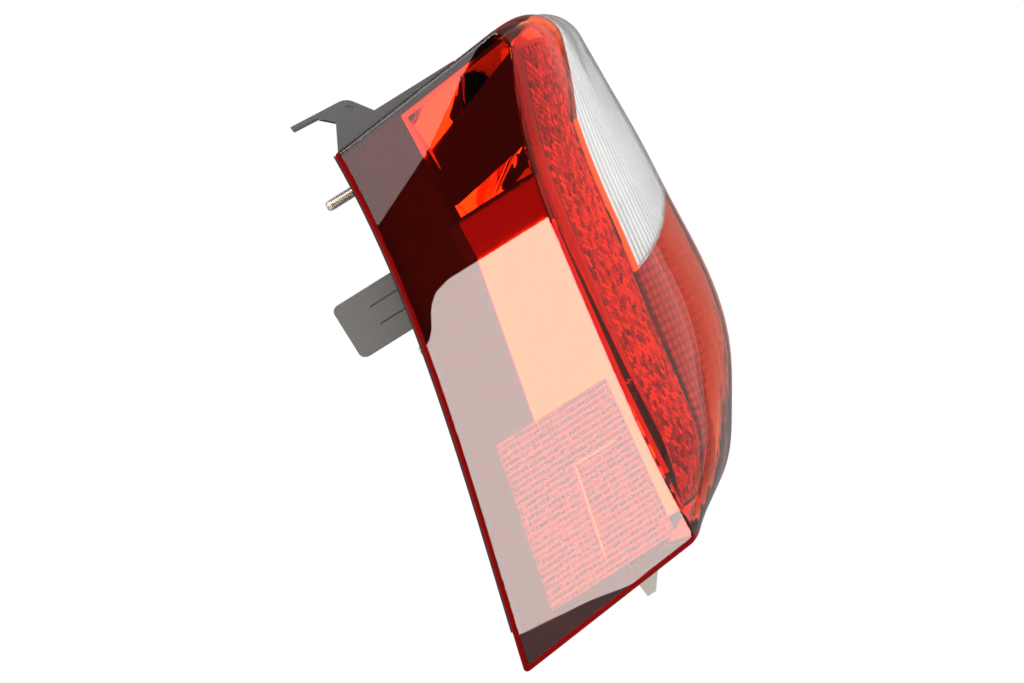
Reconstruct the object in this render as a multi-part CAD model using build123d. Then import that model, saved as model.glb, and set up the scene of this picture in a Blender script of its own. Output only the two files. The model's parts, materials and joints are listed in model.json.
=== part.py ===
"""Left-hand tail light cluster of a car, in millimetres.

Frame: +Z up, +Y forward into the car body, +X inboard. The origin is on the axis of the upper
mounting stud, where it leaves the mounting face. The side lens looks along -X, the rear lens along -Y.
"""

import math
import os

from build123d import *

# Whole lamp
lamp_width = 150.0  # side face to inboard edge
front_drop = 271.0  # height of the front edge of the side lens
front_lean = 11.8  # degrees the front edge leans forward going down, end to end
front_levels = (0.143, 0.395, 0.697)  # shares of the front drop
front_ahead = (3.0, 14.5, 34.4)  # how far the front edge has come forward there
edge_rise = 6.1  # degrees the top and bottom edges rise rearward
corner_ahead = 14.0  # top front corner of the lens ahead of the mounting face
corner_above = 19.3  # top front corner of the lens above the upper stud
stud_inset = 34.0  # upper stud in from the side face
side_crown = 20000.0  # radius of the slight bulge of the side face

# Rear outlines, as distance behind the top front corner, from the top edge down to the bottom edge.
# The levels between are shares of the front drop.
levels = (0.166, 0.277, 0.387, 0.554, 0.701, 0.812, 0.889)
crease_back = (108.0, 84.2, 76.3, 71.2, 64.2, 58.0, 54.3, 53.0, 52.7)
ridge_back = (131.0, 114.5, 108.0, 103.6, 96.4, 90.0, 82.5, 68.5, 54.0)
inboard_back = (142.0, 140.3, 139.2, 136.7, 133.0, 121.5, 103.0, 86.0, 56.0)
band_width = 24.0  # crease to ridge, across the lamp
middle_widths = (66.0, 108.0)  # crease to the two outlines between ridge and inboard edge
middle_shares = (0.58, 0.86)  # how far these lie from the ridge to the inboard outline
top_rounds = (8.0, 15.0, 20.0, 21.0, 22.0)  # crease, ridge, two between, inboard edge
toe_round = 6.0
crease_fillet = 2.0
front_fillet = 3.0

# Walls and layers
lens_wall = 2.8
lens_rim = 10.0  # depth of the lens from its outer face to the bead
bead = 1.2
shell_wall = 2.5
optic_gap = 0.2
optic_wall = 1.6
reach_past = 3.0  # how far cutting forms stand past what they cut

# Clear window in the rear lens: distances from the side face, drops below the top front corner
window_low_outer = 129.0
window_low_inboard = 96.0
window_bend = 48.0  # where the outer border starts to lean inboard
window_top_shift = 18.0  # how far the border has moved inboard at the top edge

# Bowls behind the rear lens
bowl_inset = 36.0  # outboard wall of the bowls in from the side face
bowl_wall = 1.6
bowl_gap = 0.6
bowl_focus = 16.0
bowl_apex = 22.0  # apex behind the mounting face
reverse_top_gap = 8.0  # bowl below the upper stud's level of the top wall
reverse_height = 104.0
turn_height = 68.0
stop_height = 66.0
collar_radius = 20.0
flange_radius = 27.0
flange_depth = 6.0

# Bulb holders and bulbs
holder_hole = 14.0
holder_fit = 0.4
holder_depth = 13.0  # neck inside the mounting face
holder_flange = 20.0
holder_flange_depth = 3.0
holder_reach = 19.0  # plug mouth ahead of the mounting face
plug_width = 24.0
plug_height = 18.0
plug_wall = 2.5
plug_floor = 4.0
lug_reach = 2.4
lug_width = 6.0
lug_depth = 2.4
lug_count = 3
lock_turn = 40.0  # degrees from the notches to the locked lugs
ring_depth = 1.6
bulb_seat = 8.0
bulb_seat_depth = 10.0
bulb_radius = 12.5
bulb_length = 36.0  # from the holder's end to the tip
blade_width = 2.8
blade_thick = 0.8
blade_length = 11.0
blade_spread = 9.0
blade_drop = 4.0  # blades below the middle of the plug mouth

# Side reflector and reflex plate
panel_wall = 1.6
panel_margin = 2.0  # border of the panel round the chamber
panel_reach = 1.5  # how far the panel goes past the crease
chamber_depth = 18.0
chamber_short = 1.0  # chamber's rear edge short of the crease
chamber_front_slope = 20.0  # how far the chamber's upper wall leans in at the front
chamber_rear_slope = 5.0  # and at the rear
ledge_front_slope = 6.5  # how far its lower wall leans in at the front
ledge_rear_slope = 14.5  # and at the rear
ledge_back = 4.3  # floor's lower rear corner behind the mouth's
plate_lap = 3.0  # how far the housing's plate reaches behind the panel
panel_front_top = 39.0  # front edge behind the top front corner, at its top
panel_front_middle = 33.5
panel_front_low = 15.0
panel_front_foot = 2.0
panel_head = 5.0  # the panel's top below the top edge
chamber_foot = 60.0  # drop of the chamber's lower edge
panel_step = 82.0  # drop where the panel's front edge bends
reflex_head = 165.0
reflex_foot = 252.0
reflex_front_head = -8.5  # behind the top front corner
reflex_rear_head = 57.0
reflex_front_foot = -30.0
reflex_rear_foot = 45.6
reflex_wall = 2.4

# Studs, locating block and peg of the housing
stud_radius = 3.0  # M6
stud_reach = 31.5  # ahead of the mounting face
stud_root_radius = 3.6  # where it is moulded into the housing
stud_head_radius = 6.0
stud_head_depth = 4.0
stud_boss_radius = 9.0
stud_boss_depth = 9.5
lower_stud_in = 8.0  # inboard of the upper stud
lower_stud_drop = 212.0
inboard_stud_inset = 18.0  # from the inboard edge
inboard_stud_drop = 86.0
block_top = 44.7  # below the upper stud
block_height = 30.0
block_width = 28.0
block_in = 24.0  # inboard side of the block, inboard of the upper stud
block_reach = 56.8
block_round = 3.5
slit_length = 8.6
slit_width = 1.0
slit_depth = 0.8
peg_front = 15.0  # behind the top front corner
peg_root = 14.5
peg_tip = 5.0
peg_height = 8.5
peg_width = 10.0
peg_in = 0.0

# Bracket with the tongue, on top of the housing
bracket_width = 30.0
bracket_in = 12.0  # inboard side, inboard of the upper stud
bracket_rise = 9.1  # pad top above the top front corner
pad_rear = 76.0  # behind the top front corner
arch_rear = 29.0
arch_crown = 20.0
arch_rise = 21.8
tongue_rise = 24.2
tongue_reach = 11.4  # ahead of the top front corner
tongue_wall = 2.0
arch_round = 9.0
web_wall = 2.5
web_foot_back = 2.3
web_foot_rise = 0.9
web_waist_back = 9.4
web_waist_rise = 14.2

# Gaskets, screws and breathers
gasket_width = 8.0
gasket_depth = 5.0
gasket_inset = 4.0
gasket_round = 6.0
strip_wall = 0.8
strip_length = 250.0
screw_radius = 1.5
screw_head_radius = 3.4
screw_head_depth = 2.2
screw_fit = 0.1
bowl_screw_length = 7.5
bowl_screw_pitch = 23.5
pad_screw_length = 9.0
pad_screw_front = 34.0  # behind the top front corner
pad_screw_rear = 46.0
pad_boss_radius = 3.6
pad_boss_depth = 7.0
panel_screw_length = 4.0
panel_screw_high = 200.0  # drop below the top front corner
panel_screw_low = 232.0
panel_screw_back = 10.0
vent_tube_radius = 3.5
vent_bore = 1.8
vent_tube_length = 6.0
vent_cap_radius = 6.0
vent_cap_reach = 10.0
high_vent_in = 22.0  # inboard of the upper stud
high_vent_drop = 112.0
low_vent_inset = 22.0  # from the inboard edge
low_vent_drop = 160.0

# Values that follow from the sizes above
side_x = -stud_inset
inboard_x = side_x + lamp_width
rise = math.tan(math.radians(edge_rise))
toe_ahead = corner_ahead + front_drop * math.tan(math.radians(front_lean))
toe_level = corner_above - front_drop
wing_depth = lens_rim + bead + shell_wall
plate_x = side_x + wing_depth - shell_wall  # face of the wing's back plate that looks at the lens
optic_depth = lens_wall + optic_gap
rim_depth = optic_depth + optic_wall + 2 * optic_gap  # where the bowls' rims end
plan_level = len(levels) // 2
window_lean = window_top_shift / window_bend
rear_widths = (0.0, band_width) + middle_widths + (lamp_width,)
rear_backs = [crease_back, ridge_back]
for share in middle_shares:
    rear_backs.append([r + share * (i - r) for r, i in zip(ridge_back, inboard_back)])
rear_backs.append(inboard_back)
rear_angles = []
for i in range(len(rear_widths) - 1):
    step = rear_backs[i + 1][plan_level] - rear_backs[i][plan_level]
    rear_angles.append(math.atan2(step, rear_widths[i + 1] - rear_widths[i]))
bowl_left = side_x + bowl_inset
bowl_right = inboard_x - lens_wall - bowl_gap
bowl_x = (bowl_left + bowl_right) / 2
bowl_tops = [corner_above - reverse_top_gap]
for height in (reverse_height, turn_height):
    bowl_tops.append(bowl_tops[-1] - height)
bowl_heights = (reverse_height, turn_height, stop_height)
bowl_levels = [top - height / 2 for top, height in zip(bowl_tops, bowl_heights)]
stud_places = (
    (0.0, 0.0),
    (lower_stud_in, -lower_stud_drop),
    (inboard_x - inboard_stud_inset, -inboard_stud_drop),
)
vent_places = ((high_vent_in, -high_vent_drop), (inboard_x - low_vent_inset, -low_vent_drop))


def top_z(y):
    """Height of the top edge at a distance ahead of the mounting face."""
    return corner_above + (corner_ahead - y) * rise


def bottom_z(y):
    """Height of the bottom edge at a distance ahead of the mounting face."""
    return toe_level + (toe_ahead - y) * rise


def side_point(back, drop):
    """Point of the side view, from distances behind and below the top front corner."""
    return (corner_ahead - back, corner_above - drop)


def direction(a, b):
    length = math.hypot(b[0] - a[0], b[1] - a[1])
    return ((b[0] - a[0]) / length, (b[1] - a[1]) / length)


def inset_corner(before, corner, after, gap_before, gap_after):
    """Corner moved to the left of its two edges by a gap of its own for each."""
    u = direction(before, corner)
    v = direction(corner, after)
    turn = u[0] * v[1] - u[1] * v[0]
    if abs(turn) < 1e-3:
        return (corner[0] - u[1] * gap_before, corner[1] + u[0] * gap_before)
    shift_y = (gap_before * v[0] - gap_after * u[0]) / turn
    shift_z = (gap_before * v[1] - gap_after * u[1]) / turn
    return (corner[0] + shift_y, corner[1] + shift_z)


def arc_ends(before, corner, after, radius):
    """Ends and directions of a round of the given radius in a corner."""
    u = direction(before, corner)
    v = direction(corner, after)
    turn = math.acos(u[0] * v[0] + u[1] * v[1])
    reach = radius * math.tan(turn / 2)
    start = (corner[0] - u[0] * reach, corner[1] - u[1] * reach)
    end = (corner[0] + v[0] * reach, corner[1] + v[1] * reach)
    return start, u, end, v


def outline(x, backs, face_gap, rim_gap, back_y, top_round):
    """Side-view outline of the lamp at a distance across it, inset from its rear face and its rims."""
    ys = [corner_ahead - back for back in backs]
    rail = [(ys[0], top_z(ys[0]))]
    rail += [(y, corner_above - share * front_drop) for y, share in zip(ys[1:-1], levels)]
    rail += [(ys[-1], bottom_z(ys[-1]))]
    rim_drop = rim_gap / math.cos(math.radians(edge_rise))
    head = (back_y, top_z(back_y))
    foot = (back_y, bottom_z(back_y))
    loop = [head] + rail + [foot]
    gaps = [rim_gap] + [face_gap] * (len(rail) - 1) + [rim_gap]
    inner = [
        inset_corner(loop[i - 1], loop[i], loop[i + 1], gaps[i - 1], gaps[i])
        for i in range(1, len(loop) - 1)
    ]
    head = (back_y, head[1] - rim_drop)
    foot = (back_y, foot[1] + rim_drop)
    shrink = max(0.0, min(face_gap, rim_gap))
    radius = max(top_round - shrink, top_round / 2)
    start, into, end, out = arc_ends(head, inner[0], inner[1], radius)
    radius = max(toe_round - shrink, toe_round / 2)
    heel, heel_into, toe, _ = arc_ends(inner[-2], inner[-1], foot, radius)

    def at(point):
        return Vector(x, point[0], point[1])

    rear = [at(end)] + [at(point) for point in inner[1:-1]] + [at(heel)]
    edges = [
        Edge.make_line(at(head), at(start)),
        Edge.make_tangent_arc(at(start), Vector(0, *into), at(end)),
        Edge.make_spline(rear, tangents=[Vector(0, *out), Vector(0, *heel_into)]),
        Edge.make_tangent_arc(at(heel), Vector(0, *heel_into), at(toe)),
        Edge.make_line(at(toe), at(foot)),
        Edge.make_line(at(foot), at(head)),
    ]
    return Face(Wire(edges))


def form(depth, rim, wall, back_y):
    """Lamp body behind the lens, inset by depth from the side and rear faces, by rim from the top and
    bottom and by wall from the inboard edge, closed at back_y."""
    slope = math.tan(rear_angles[0])
    tail = rear_angles[-1]
    places = [(side_x + depth, depth * (math.hypot(1, slope) - slope))]
    for i in range(1, len(rear_widths) - 1):
        turn = (rear_angles[i - 1] + rear_angles[i]) / 2
        x = side_x + rear_widths[i] + depth * math.sin(turn)
        places.append((x, depth * math.cos(turn)))
    places.append((inboard_x - wall, depth / math.cos(tail) + wall * math.tan(tail)))
    sections = [
        outline(x, backs, gap, rim, back_y, top_round)
        for (x, gap), backs, top_round in zip(places, rear_backs, top_rounds)
    ]
    return loft(sections)


def wing(depth, end_depth, rim, front):
    """Thin part of the lamp ahead of the mounting face, between two depths behind the side face."""
    rear = -shell_wall - reach_past
    lift = rim / math.cos(math.radians(edge_rise))
    line = [(rear, top_z(rear)), (corner_ahead, corner_above)]
    for share, ahead in zip(front_levels, front_ahead):
        line.append((corner_ahead + ahead, corner_above - share * front_drop))
    line += [(toe_ahead, toe_level), (rear, bottom_z(rear))]
    gaps = [-rim] + [-front] * (len(line) - 3) + [-rim]
    edge = [
        Vector(side_x + depth, *inset_corner(line[i - 1], line[i], line[i + 1], gaps[i - 1], gaps[i]))
        for i in range(1, len(line) - 1)
    ]
    head = Vector(side_x + depth, rear, line[0][1] - lift)
    foot = Vector(side_x + depth, rear, line[-1][1] + lift)
    border = [
        Edge.make_line(head, edge[0]),
        Edge.make_spline(edge),
        Edge.make_line(edge[-1], foot),
        Edge.make_line(foot, head),
    ]
    return extrude(Face(Wire(border)), end_depth - depth, dir=(1, 0, 0))


def crown(gap):
    """Ball whose near side is the bulge of the side face, inset by a gap."""
    middle_y = (corner_ahead + toe_ahead) / 2 - crease_back[plan_level]
    middle_z = corner_above - front_drop / 2
    return Pos(side_x + side_crown, middle_y / 2, middle_z) * Sphere(side_crown - gap)


def block(x0, x1, y0, y1, z0, z1):
    """Box between two corners."""
    centre = ((x0 + x1) / 2, (y0 + y1) / 2, (z0 + z1) / 2)
    return Pos(*centre) * Box(x1 - x0, y1 - y0, z1 - z0)


def tube(x, z, radius, y0, y1):
    """Round bar along Y."""
    centre = Pos(x, (y0 + y1) / 2, z) * Rot(90, 0, 0)
    return centre * Cylinder(radius, y1 - y0)


def side_prism(points, x0, x1):
    """Side-view polygon, given as distances behind and below the top front corner, drawn out along X."""
    loop = [Vector(x0, *side_point(*point)) for point in points]
    return extrude(Face(Wire.make_polygon(loop, close=True)), x1 - x0, dir=(1, 0, 0))


def rear_prism(points, y0, y1):
    """Rear-view polygon, given as distances from the side face and below the top corner, along Y."""
    loop = [Vector(side_x + x, y0, corner_above - drop) for x, drop in points]
    return extrude(Face(Wire.make_polygon(loop, close=True)), y1 - y0, dir=(0, 1, 0))


def only(shape):
    """Largest solid of a cut shape."""
    return max(shape.solids(), key=lambda solid: solid.volume)


# Hollow body that the lens, the bead and the housing are cut from
def make_envelope():
    whole = only((form(0, 0, 0, 0) + wing(0, wing_depth, 0, 0)) & crown(0))
    whole = only(fillet([max(tall_edges(whole), key=lambda edge: edge.center().Y)], front_fillet))
    return only(fillet([min(tall_edges(whole), key=lambda edge: edge.center().Y)], crease_fillet))


def tall_edges(whole):
    """Front edge and crease of the crowned side face."""
    side = max(whole.faces(), key=lambda face: (face.geom_type == GeomType.SPHERE, face.area))
    return [edge for edge in side.edges() if edge.length > front_drop / 2]


def make_cavity():
    main = form(lens_wall, lens_wall, lens_wall, -shell_wall)
    ahead = wing(lens_wall, wing_depth - shell_wall, lens_wall, lens_wall)
    return only((main + ahead) & crown(lens_wall))


def make_core(depth):
    """All that lies deeper than the lens rim."""
    main = form(depth, -reach_past, -reach_past, reach_past)
    ahead = wing(depth, wing_depth + reach_past, -reach_past, -reach_past)
    return main + ahead


envelope = make_envelope()
cavity = make_cavity()
hollow = envelope - cavity
lens_core = make_core(lens_rim)
lens_zone = hollow - lens_core
behind_lens = hollow & lens_core
housing_core = make_core(lens_rim + bead)


# Lens, in red and clear, and the bead behind it
def window_border(grow):
    """Border of the clear window in the rear view, grown outwards."""
    past = lamp_width + reach_past
    above = -front_drop / 4
    slope = (window_low_outer - window_low_inboard) / (lamp_width - band_width)
    outer = band_width - grow
    return [
        (outer, window_low_outer + grow),
        (outer, window_bend),
        (outer + window_lean * (window_bend - above), above),
        (past, above),
        (past, window_low_outer + grow - slope * (past - outer)),
    ]


behind_back = 2 * max(inboard_back)
behind = corner_ahead - behind_back
window = rear_prism(window_border(0), behind, 0)
lens_red = only(lens_zone - window)
lens_clear = only(lens_zone & window)
lens_bead = only(behind_lens - housing_core)


# Optics just inside the rear lens
def layer(depth, thickness):
    """Sheet that follows the inside of the rear lens at a depth."""
    outside = form(depth, lens_wall + optic_gap, lens_wall, -lens_rim)
    inside = form(depth + thickness, lens_wall - optic_gap, lens_wall, reach_past)
    return outside - inside


optic_edge = 0.8  # half of the gap between two sheets
optic_sheet = layer(optic_depth, optic_wall)
optic_sheet &= side_prism(
    [
        (0.0, lens_rim),
        (behind_back, lens_rim - behind_back * rise),
        (behind_back, front_drop - lens_rim - behind_back * rise),
        (0.0, front_drop - lens_rim),
    ],
    side_x,
    inboard_x - lens_rim,
)


def make_optic(border):
    return only(optic_sheet & rear_prism(border, behind, -lens_rim))


def inset_border(points, gap):
    """Polygon moved inwards on every side."""
    count = len(points)
    return [
        inset_corner(points[i - 1], points[i], points[(i + 1) % count], gap, gap)
        for i in range(count)
    ]


band_front = optic_depth + optic_wall + optic_gap
band_top = lens_rim + 2 * optic_wall
band_border = [
    (band_front, band_top),
    (band_width - optic_edge + window_lean * (window_bend - band_top), band_top),
    (band_width - optic_edge, window_bend),
    (band_width - optic_edge, levels[-1] * front_drop),
    (band_front, levels[-1] * front_drop),
]
tail_border = [
    (band_width + optic_edge, window_low_outer + 2 * optic_edge),
    (lamp_width - lens_rim, window_low_inboard + 3 * optic_edge),
    (lamp_width - lens_rim, levels[-1] * front_drop),
    (band_width + optic_edge, levels[-1] * front_drop),
]
reverse_optic = make_optic(window_border(-optic_edge))
tail_optic = make_optic(tail_border)
corner_optic = make_optic(band_border)


# Side reflector: a flat panel with a deep chamber at its upper end
def crease_at(drop):
    """Distance of the crease behind the top front corner at a drop."""
    drops = [-crease_back[0] * rise] + [share * front_drop for share in levels]
    last = len(drops) - 1
    i = next((k for k in range(1, last) if drop <= drops[k]), last)
    part = (drop - drops[i - 1]) / (drops[i] - drops[i - 1])
    return crease_back[i - 1] + part * (crease_back[i] - crease_back[i - 1])


def under_roof(back, gap):
    """Point a gap below the top edge."""
    return (back, gap - back * rise)


panel_x = plate_x - panel_wall
panel_foot = reflex_foot - lens_rim
panel_rear = [under_roof(crease_at(-panel_head) + panel_reach, panel_head)]
for drop in (chamber_foot, panel_step, reflex_head, panel_foot):
    panel_rear.append((crease_at(drop) + panel_reach, drop))
panel_front = [
    (panel_front_foot, panel_foot),
    (panel_front_low, reflex_head),
    (panel_front_middle, panel_step),
    under_roof(panel_front_top, panel_head),
]
chamber_mouth = [
    under_roof(panel_front_top + panel_margin, panel_head + panel_margin),
    under_roof(crease_at(-panel_head) - chamber_short, panel_head + panel_margin),
    (crease_at(chamber_foot) - chamber_short, chamber_foot),
    (panel_front_middle + 2 * panel_margin, chamber_foot),
]
mouth_shifts = [
    (panel_margin, chamber_front_slope),
    (chamber_short, chamber_rear_slope),
    (ledge_back, -ledge_rear_slope),
    (panel_margin, -ledge_front_slope),
]
chamber_end = [
    (back + shift, drop + fall) for (back, drop), (shift, fall) in zip(chamber_mouth, mouth_shifts)
]


def chamber(gap, x0, x1):
    """Tapered chamber between its mouth and its floor, grown by a gap."""
    faces = []
    for x, border in ((x0, chamber_mouth), (x1, chamber_end)):
        loop = [Vector(x, *side_point(*point)) for point in inset_border(border, -gap)]
        faces.append(Face(Wire.make_polygon(loop, close=True)))
    return loft(faces, ruled=True)


chamber_floor = panel_x + chamber_depth
side_reflector = side_prism(panel_rear + panel_front, panel_x, plate_x)
side_reflector += chamber(panel_wall, panel_x, chamber_floor + panel_wall)
side_reflector -= chamber(0, panel_x - reach_past / 10, chamber_floor)

# Reflex plate, moulded against the inside of the side lens
reflex_border = [
    (reflex_front_head, reflex_head),
    (reflex_rear_head, reflex_head),
    (reflex_rear_foot, reflex_foot),
    (reflex_front_foot, reflex_foot),
]
side_reflex = side_prism(reflex_border, side_x, panel_x) & crown(lens_wall)
side_reflex = only(side_reflex - crown(lens_wall + reflex_wall))


# Bowls behind the rear lens, one for each lamp, with a collar that stands on the mounting wall
def paraboloid(x, z, gap):
    """Solid bowl of revolution open to the rear, grown by a gap."""
    deep = max(inboard_back)
    wide = 2 * math.sqrt(bowl_focus * deep)
    nose = -bowl_apex + gap
    arc = Edge.make_spline(
        [
            Vector(share * wide, nose - deep * share**2, 0)
            for share in (0, 0.25, 0.5, 0.75, 1.0)
        ]
    )
    tail = nose - deep
    edges = [
        arc,
        Edge.make_line(Vector(wide, tail, 0), Vector(0, tail, 0)),
        Edge.make_line(Vector(0, tail, 0), Vector(0, nose, 0)),
    ]
    bowl = revolve(Face(Wire(edges)), axis=Axis.Y)
    return Pos(x, 0, z) * bowl


bowl_limit = form(rim_depth, lens_wall + bowl_gap, lens_wall + bowl_gap, -shell_wall)


def make_bowl(top, height):
    z = top - height / 2
    low = top - height + bowl_gap
    tail = -2 * max(inboard_back)
    cell = block(bowl_left, bowl_right, tail, -shell_wall, low, top) & bowl_limit
    inside = block(
        bowl_left + bowl_wall, bowl_right - bowl_wall, tail, 0, low + bowl_wall, top - bowl_wall
    )
    skin = only((paraboloid(bowl_x, z, bowl_wall) & cell) - (paraboloid(bowl_x, z, 0) & inside))
    root = -bowl_apex - collar_radius**2 / (4 * bowl_focus)
    skin += tube(bowl_x, z, collar_radius, root, -shell_wall)
    skin += tube(bowl_x, z, flange_radius, -shell_wall - flange_depth, -shell_wall)
    bore = holder_hole + lug_reach + 4 * holder_fit
    skin -= tube(bowl_x, z, bore, 2 * root, 0)
    for screw_x in (bowl_x - bowl_screw_pitch, bowl_x + bowl_screw_pitch):
        skin -= tube(screw_x, z, screw_radius, -bowl_screw_length, 0)
    return only(skin)


bowl_names = ("reverse", "turn", "stop_tail")
bowls = [make_bowl(top, height) for top, height in zip(bowl_tops, bowl_heights)]


# Bulb holder with twist lugs, its seal ring, bulb and contact blades
def lug(x, z, turn, reach, width, y0, y1):
    box = block(0, holder_hole + reach, y0, y1, -width / 2, width / 2)
    return Pos(x, 0, z) * Rot(0, turn, 0) * box


def blades(x, z):
    floor = ring_depth + holder_flange_depth
    level = z - blade_drop
    pair = []
    for side in (-blade_spread / 2, blade_spread / 2):
        pair.append(
            block(
                x + side - blade_width / 2,
                x + side + blade_width / 2,
                floor,
                floor + blade_length,
                level - blade_thick / 2,
                level + blade_thick / 2,
            )
        )
    return pair


def make_holder(x, z):
    flange_end = ring_depth + holder_flange_depth
    neck = holder_hole - holder_fit
    body = tube(x, z, neck, -holder_depth, ring_depth)
    body += tube(x, z, holder_flange, ring_depth, flange_end)
    half_width = plug_width / 2
    half_height = plug_height / 2
    body += block(
        x - half_width, x + half_width, flange_end, holder_reach, z - half_height, z + half_height
    )
    body -= block(
        x - half_width + plug_wall,
        x + half_width - plug_wall,
        flange_end + plug_floor,
        holder_reach,
        z - half_height + plug_wall,
        z + half_height - plug_wall,
    )
    lock_face = -shell_wall - holder_fit
    for step in range(lug_count):
        turn = lock_turn + step * 360 / lug_count
        body += lug(x, z, turn, lug_reach, lug_width, lock_face - lug_depth, lock_face)
    body -= tube(x, z, bulb_seat, -holder_depth, -holder_depth + bulb_seat_depth)
    for blade in blades(x, z):
        body -= blade
    return only(body)


def make_ring(x, z):
    inner = holder_hole - holder_fit
    return tube(x, z, holder_flange - 1.0, 0, ring_depth) - tube(x, z, inner, 0, ring_depth)


def make_bulb(x, z):
    """Wedge bulb: base in the seat, waist and round globe as one glass body."""
    seat_floor = -holder_depth + bulb_seat_depth
    waist = 0.8 * bulb_seat
    tip = -holder_depth - bulb_length
    globe = tip + bulb_radius
    shoulder = -holder_depth - bulb_seat / 2
    edges = [
        Edge.make_line(Vector(0, seat_floor, 0), Vector(bulb_seat, seat_floor, 0)),
        Edge.make_line(Vector(bulb_seat, seat_floor, 0), Vector(bulb_seat, -holder_depth, 0)),
        Edge.make_line(Vector(bulb_seat, -holder_depth, 0), Vector(waist, shoulder, 0)),
        Edge.make_spline(
            [Vector(waist, shoulder, 0), Vector(bulb_radius, globe, 0)],
            tangents=[Vector(0, -1, 0), Vector(0, -1, 0)],
        ),
        Edge.make_tangent_arc(
            Vector(bulb_radius, globe, 0), Vector(0, -1, 0), Vector(0, tip, 0)
        ),
        Edge.make_line(Vector(0, tip, 0), Vector(0, seat_floor, 0)),
    ]
    return Pos(x, 0, z) * revolve(Face(Wire(edges)), axis=Axis.Y)


# Studs, moulded into bosses of the housing by their heads
def make_stud(x, z):
    head_end = -shell_wall - stud_boss_depth / 2
    stud = tube(x, z, stud_radius, 0, stud_reach)
    tip = max(stud.edges(), key=lambda edge: edge.center().Y)
    stud = fillet([tip], stud_radius * 0.6) + tube(x, z, stud_root_radius, head_end, 0)
    head = extrude(RegularPolygon(stud_head_radius, 6), stud_head_depth)
    head = Pos(x, head_end, z) * Rot(90, 0, 0) * head
    return only(stud + head)


studs = [make_stud(x, z) for x, z in stud_places]


# Screws
def make_screw(x, z, length):
    """Pan-head screw driven in from the mounting face."""
    return tube(x, z, screw_head_radius, 0, screw_head_depth) + tube(x, z, screw_radius, -length, 0)


bowl_screw_places = [
    (bowl_x + side * bowl_screw_pitch, level) for level in bowl_levels for side in (-1, 1)
]
bowl_screws = [make_screw(x, z, bowl_screw_length) for x, z in bowl_screw_places]

panel_screws = []
panel_screw_holes = []
for drop in (panel_screw_high, panel_screw_low):
    y, z = side_point(panel_screw_back, drop)
    plate_back = side_x + wing_depth
    centre = Pos(plate_back, y, z) * Rot(0, 90, 0)
    head = Pos(0, 0, screw_head_depth / 2) * Cylinder(screw_head_radius, screw_head_depth)
    shank = Pos(0, 0, -panel_screw_length / 2) * Cylinder(screw_radius, panel_screw_length)
    panel_screws.append(centre * (head + shank))
    panel_screw_holes.append(centre * shank)
for hole in panel_screw_holes:
    side_reflector -= hole
side_reflector = only(side_reflector)

bracket_right = bracket_in
bracket_left = bracket_in - bracket_width
bracket_x = (bracket_left + bracket_right) / 2
pad_level = corner_above + bracket_rise
pad_screws = []
for back in (pad_screw_front, pad_screw_rear):
    y = corner_ahead - back
    head_base = pad_level - screw_head_depth
    shank = Pos(bracket_x, y, pad_level - pad_screw_length / 2)
    screw = shank * Cylinder(screw_radius, pad_screw_length)
    screw += Pos(bracket_x, y, pad_level - screw_head_depth / 2) * Cone(
        screw_radius, screw_head_radius, screw_head_depth
    )
    pad_screws.append(only(screw))


# Bracket: pad on the sloping top of the housing, arched tongue and its web
def make_bracket():
    pad_points = [
        (arch_rear, -bracket_rise),
        (pad_rear, -bracket_rise),
        (pad_rear, -top_z(corner_ahead - pad_rear) + corner_above),
        (corner_ahead, -top_z(0) + corner_above),
        (corner_ahead, -bracket_rise),
    ]
    pad = side_prism(pad_points, bracket_left, bracket_right)
    tongue_points = [
        (-tongue_reach, -tongue_rise),
        (arch_crown, -arch_rise),
        (arch_rear, -bracket_rise),
        (arch_rear - 2 * tongue_wall, -bracket_rise),
        (arch_crown - tongue_wall, -arch_rise + tongue_wall),
        (-tongue_reach, -tongue_rise + tongue_wall),
    ]
    tongue = side_prism(tongue_points, bracket_left, bracket_right)
    crown_y, crown_z = side_point(arch_crown, -arch_rise)
    bends = [
        edge
        for edge in tongue.edges()
        if math.hypot(edge.center().Y - crown_y, edge.center().Z - crown_z) < 3 * tongue_wall
        and abs(edge.center().X - bracket_x) < tongue_wall
    ]
    tongue = fillet(bends, arch_round)
    web_points = [
        (web_foot_back, -web_foot_rise),
        (web_waist_back, -web_waist_rise),
        (web_foot_back, -arch_rise + tongue_wall / 2),
        (arch_crown - arch_round / 2, -arch_rise + tongue_wall / 2),
        (arch_rear - tongue_wall, -bracket_rise),
        (corner_ahead, -bracket_rise / 2),
        (corner_ahead, -web_foot_rise),
    ]
    web = side_prism(web_points, bracket_left, bracket_left + web_wall)
    far_web = side_prism(web_points, bracket_right - web_wall, bracket_right)
    return only(pad + tongue + web + far_web)


bracket = make_bracket()
for screw in pad_screws:
    bracket -= screw
bracket = only(bracket)


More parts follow.
